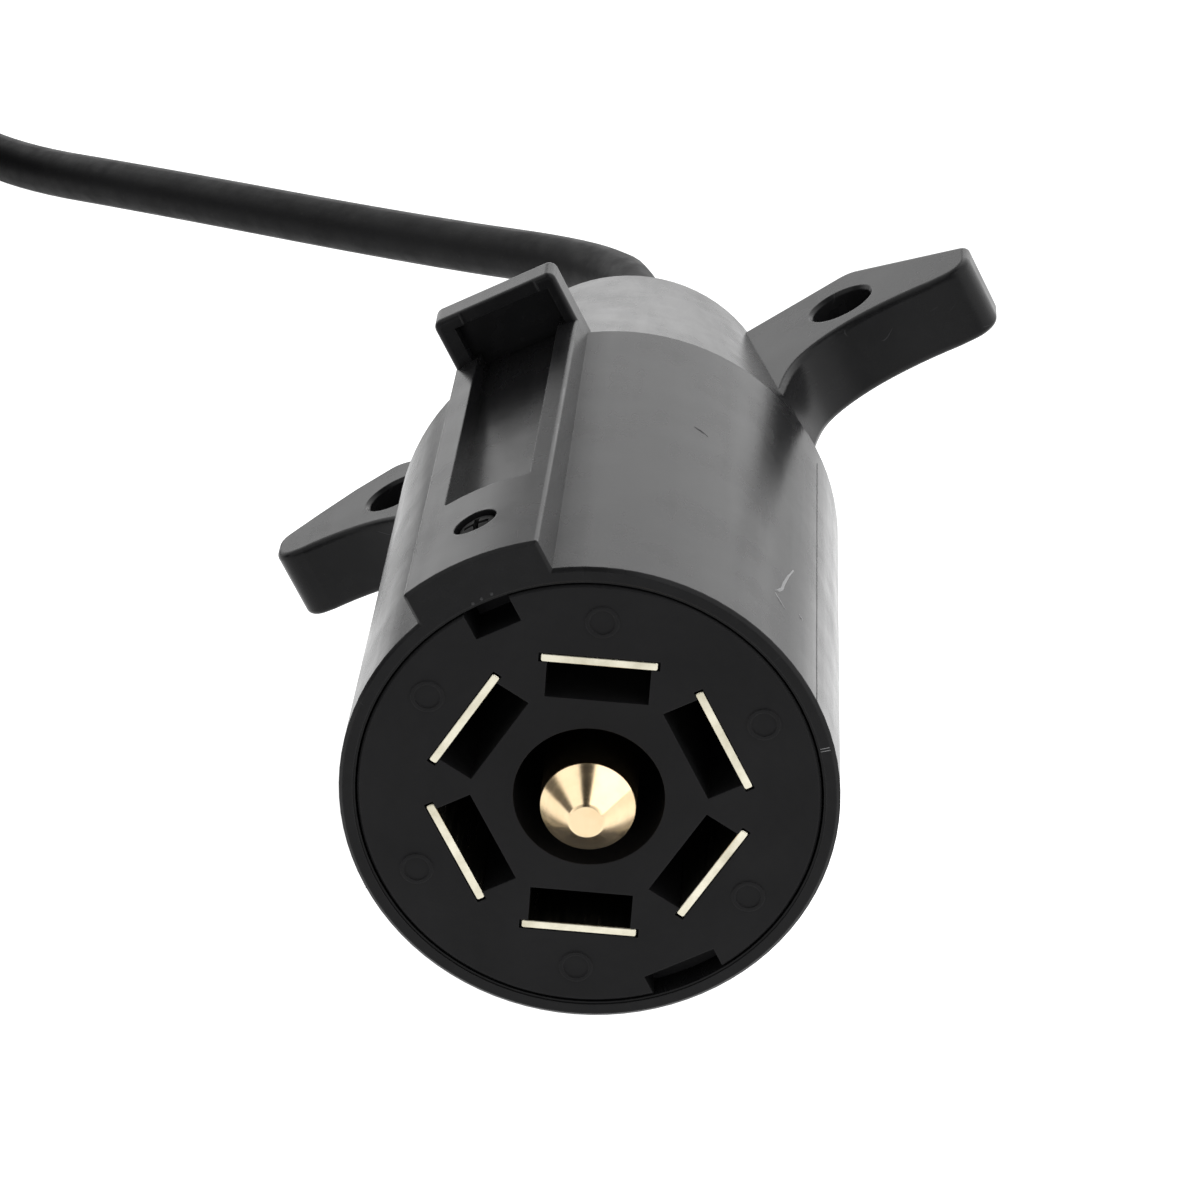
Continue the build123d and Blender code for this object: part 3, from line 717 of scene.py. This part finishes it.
def marks(bm):
    """Three pips on the key's front face, a nick on the rim, and a few scuffs on the barrel."""
    for x, z in ((1.02, 22.27), (-0.04, 22.22), (-0.96, 22.12)):
        before = set(bm.faces)
        dot(bm, key(x, 0.0, z), (0, -1, 0), 0.17, 0.09)
        for f in set(bm.faces) - before:
            f.material_index = 1
    a = math.radians(102.1)
    for da in (-0.35, 0.35):
        b = a + math.radians(da)
        tube(bm, [key(r * math.sin(b), 0.02, r * math.cos(b)) for r in (21.95, 22.3, 22.85)], 0.05 * MM, 6)
    hook = [(79.0, 21.0), (77.2, 18.4), (75.6, 15.6), (75.0, 14.0), (73.6, 12.6), (72.3, 11.9)]
    tube(bm, [on_barrel(a, y, -0.15) for a, y in hook], [w * MM for w in (0.16, 0.19, 0.21, 0.22, 0.22, 0.16)], 10)
    for run, mat in ((((72.5, 11.6), (74.0, 10.9), (76.3, 10.1)), 0), (((81.6, 12.9), (82.4, 12.6), (83.2, 12.6)), 0),
                     (((47.6, 38.0), (49.4, 37.6), (51.2, 36.9)), 1)):
        tube(bm, [on_barrel(a, y, -0.15) for a, y in run], [0.16 * MM, 0.205 * MM, 0.16 * MM], 10, mat)


def crowned(bm):
    """The retaining screw with its pan head crowned, so its top stands nearer the key's surface."""
    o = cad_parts["retaining_screw"]
    bm.from_mesh(o.data)
    for f in bm.faces:
        f.smooth = False
        f.material_index = 0
    for v in bm.verts:
        q = o.matrix_world @ v.co
        x = (q.x * math.cos(ROLL) + q.z * math.sin(ROLL)) / MM - 0.45
        h = (-q.x * math.sin(ROLL) + q.z * math.cos(ROLL)) / MM
        if h > 24.0:
            away = math.hypot(x, q.y / MM - 9.15) / 2.05
            q = q + key(0, 0, 1) * (0.55 * max(0.0, 1.0 - 0.55 * away ** 2))
        v.co = q


# A dark, nearly matte screw head whose edges are painted lighter as a painted glint.
M_BLACK = Mat("screw_black", rough=0.5, spec=0.02)
painted_glint_edge, bev = M_BLACK.edge(0.00012, 0.01, 0.2)
M_BLACK.color(M_BLACK.mix(M_BLACK.math("MULTIPLY", painted_glint_edge, 0.6),
                          M_BLACK.mix(M_BLACK.range(M_BLACK.noise(900, 3), 0.35, 0.65, 0, 1), (0.006, 0.006, 0.006), (0.016, 0.016, 0.016)),
                          (0.10, 0.10, 0.10)))
M_BLACK.normal(bev)
pan = mesh_piece("retaining_screw_crowned", crowned, [M_BLACK], body="retaining_screw")
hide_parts("retaining_screw")

M_SCUFF = Mat("scuffed_plastic", rough=0.42, spec=0.22, color=(0.13, 0.13, 0.132))
# The pips are painted lighter than the shell they are moulded in: a painted glint. One faint barrel scuff also uses
# this colour, as wear.
M_PIP = Mat("painted_pip_glint_and_scuff", rough=0.45, spec=0.12, color=(0.028, 0.028, 0.029))
mesh_piece("shell_marks", marks, [M_SCUFF, M_PIP])

# ------------------------------------------------------------------ floor, light
bm = bmesh.new()
half = 2.5
z = FLOOR * MM - 0.00002
vs = [bm.verts.new(p) for p in ((-half, -half, z), (half, -half, z), (half, half, z), (-half, half, z))]
bm.faces.new(vs)
me = bpy.data.meshes.new("floor")
bm.to_mesh(me)
bm.free()
floor = link(bpy.data.objects.new("floor", me))
M_FLOOR = Mat("floor_white", rough=0.7, spec=0.0, color=(0.17, 0.17, 0.17))
M_FLOOR.color(M_FLOOR.mix(M_FLOOR.range(M_FLOOR.noise(3, 2), 0.3, 0.7, 0, 1), (0.168, 0.168, 0.168), (0.172, 0.172, 0.172)))
M_FLOOR.b.inputs["Emission Color"].default_value = (1, 1, 1, 1)
# the floor glows with painted light: it brightens towards the back, most of all to the right, with painted pools of
# light at the right and left rear and a painted shadow where the gain is negative, on the left
sep = M_FLOOR.node("ShaderNodeSeparateXYZ")
M_FLOOR.link(M_FLOOR.obj(), sep.inputs[0])
glow = M_FLOOR.range(sep.outputs[1], -0.100, -0.010, 0.80, 1.08)
for cx, cy, reach, gain in ((0.055, 0.090, 0.110, 0.62), (-0.045, 0.090, 0.090, 0.30),
                            (-0.033, 0.055, 0.036, -0.48)):
    dx = M_FLOOR.math("SUBTRACT", sep.outputs[0], cx)
    dy = M_FLOOR.math("SUBTRACT", sep.outputs[1], cy)
    away = M_FLOOR.math("SQRT", M_FLOOR.math("ADD", M_FLOOR.math("MULTIPLY", dx, dx), M_FLOOR.math("MULTIPLY", dy, dy)))
    glow = M_FLOOR.math("ADD", glow, M_FLOOR.range(away, reach * 0.35, reach, gain, 0.0))
M_FLOOR.link(glow, M_FLOOR.b.inputs["Emission Strength"])
me.materials.append(M_FLOOR.m)

world = bpy.data.worlds.new("studio")
scene.world = world
world.use_nodes = True
wt = world.node_tree
wt.nodes.clear()
wo = wt.nodes.new("ShaderNodeOutputWorld")
wb = wt.nodes.new("ShaderNodeBackground")
tc = wt.nodes.new("ShaderNodeTexCoord")
sp = wt.nodes.new("ShaderNodeSeparateXYZ")
wt.links.new(tc.outputs["Generated"], sp.inputs[0])


def wmath(op, a, b=None, c=None, clamp=False):
    n = wt.nodes.new("ShaderNodeMath")
    n.operation = op
    n.use_clamp = clamp
    for k, v in enumerate((a, b, c)):
        if v is None:
            continue
        if hasattr(v, "is_output"):
            wt.links.new(v, n.inputs[k])
        else:
            n.inputs[k].default_value = v
    return n.outputs[0]


def wrange(v, a0, a1, b0, b1, kind="SMOOTHSTEP"):
    n = wt.nodes.new("ShaderNodeMapRange")
    n.interpolation_type = kind
    wt.links.new(v, n.inputs["Value"])
    for k, q in (("From Min", a0), ("From Max", a1), ("To Min", b0), ("To Max", b1)):
        n.inputs[k].default_value = q
    return n.outputs[0]


WX, WY, WZ = sp.outputs[0], sp.outputs[1], sp.outputs[2]


def wmix(t, a, b):
    """a where t is 0, b where t is 1."""
    return wmath("ADD", wmath("MULTIPLY", wmath("SUBTRACT", 1.0, t), a), wmath("MULTIPLY", t, b))


# overhead: a dimmer panel on the left and a brighter one on the right
top = wrange(WX, -0.1, 0.1, 1.4, 2.1)
# behind: a bright wall, strongest a little above the horizon, with a soft gap left of centre
gap = wmath("MULTIPLY", wrange(wmath("ABSOLUTE", wmath("ADD", WX, 0.225)), 0.03, 0.17, 1.0, 0.0),
            wrange(WZ, 0.17, 0.29, 0.0, 1.0))
back = wmath("MULTIPLY", wrange(WZ, 0.05, 0.40, 2.45, 2.65), wmath("SUBTRACT", 1.0, wmath("MULTIPLY", gap, 0.75)))
# its left end is a little dimmer
back = wmath("MULTIPLY", back, wrange(WX, -0.40, -0.15, 0.78, 1.0))
power = wmix(wrange(WY, 0.1, 0.6, 0.0, 1.0), top, back)
# the side the camera stands on is dark near the horizon
power = wmath("MULTIPLY", power, wrange(WY, -0.85, -0.40, 0.12, 1.0))
# a dark strip between the panels, and a dark patch low on the left
strip = wmath("MULTIPLY", wrange(wmath("ABSOLUTE", wmath("ADD", WX, 0.055)), 0.18, 0.29, 1.0, 0.0),
              wmath("MULTIPLY", wrange(WZ, 0.45, 0.65, 0.0, 1.0), wrange(WY, 0.35, 0.15, 0.0, 1.0)))
power = wmath("MULTIPLY", power, wmath("SUBTRACT", 1.0, wmath("MULTIPLY", strip, 0.98)))
spot = wmath("ADD", wmath("ADD", wmath("MULTIPLY", WX, -0.97), wmath("MULTIPLY", WY, -0.07)), wmath("MULTIPLY", WZ, 0.22))
power = wmath("MULTIPLY", power, wrange(spot, 0.935, 0.98, 1.0, 0.08))
wt.links.new(power, wb.inputs["Strength"])
wb.inputs["Color"].default_value = (1.0, 1.0, 1.0, 1)
wt.links.new(wb.outputs[0], wo.inputs[0])


def area(name, loc, aim, size, power):
    li = bpy.data.lights.new(name, "AREA")
    li.shape = "RECTANGLE"
    li.size, li.size_y = size
    li.energy = power
    o = link(bpy.data.objects.new(name, li))
    o.location = loc
    o.rotation_mode = "QUATERNION"
    o.rotation_quaternion = (Vector(aim) - Vector(loc)).to_track_quat("-Z", "Y")
    o.visible_glossy = False
    return o


area("panel_left", (-0.62, -0.30, 1.25), (0, 0.03, 0), (0.45, 0.7), 0.6)
area("panel_right", (0.55, -0.30, 1.25), (0, 0.03, 0), (0.45, 0.7), 0.9)
area("panel_front", (-0.05, -0.90, 0.16), (0, 0.03, 0), (0.5, 0.4), 4.0)
